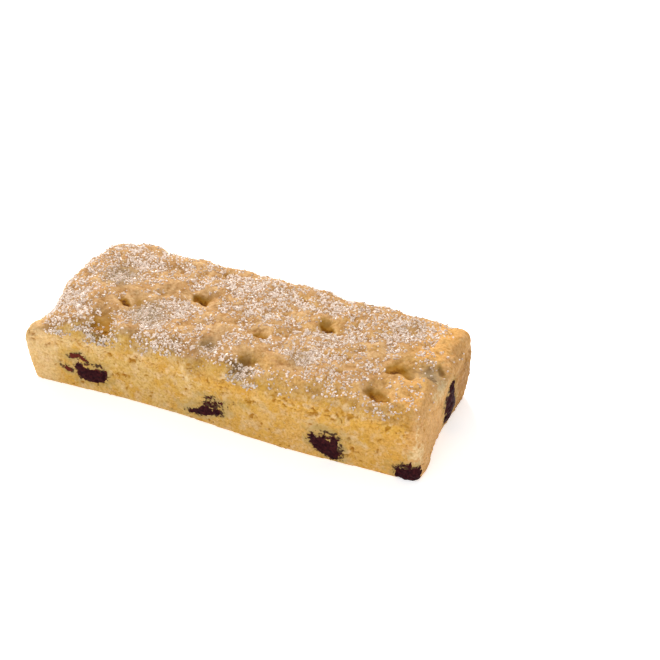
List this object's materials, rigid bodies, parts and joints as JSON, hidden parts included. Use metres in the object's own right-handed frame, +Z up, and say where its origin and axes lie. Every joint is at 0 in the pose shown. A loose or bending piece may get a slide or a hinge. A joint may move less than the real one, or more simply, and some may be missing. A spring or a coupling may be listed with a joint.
{
  "type": "chocolate chip shortbread biscuit",
  "caption": "Rectangular shortbread biscuit with a lumpy pricked top, cut sides and chocolate chips set flush in the sides, for serving as food.",
  "frame": {"origin": "middle of the flat base, under the middle of the part's box", "axes": "+X along the finger, +Z up out of the pricked top, -Y out of the long side that shows four chips"},
  "size_m": [0.094, 0.036, 0.0192],
  "materials": {
    "dough": "matt baked dough, golden on top and paler at the cut sides",
    "chocolate": "dark chocolate with a dull sheen"
  },
  "bodies": {
    "root": {"shortbread_dough": "dough", "chip_front_left": "chocolate", "chip_front_middle": "chocolate", "chip_front_right": "chocolate", "chip_front_corner": "chocolate", "chip_right_end": "chocolate", "chip_back_left": "chocolate", "chip_back_middle": "chocolate", "chip_back_right": "chocolate", "chip_left_end": "chocolate"}
  },
  "joints": []
}
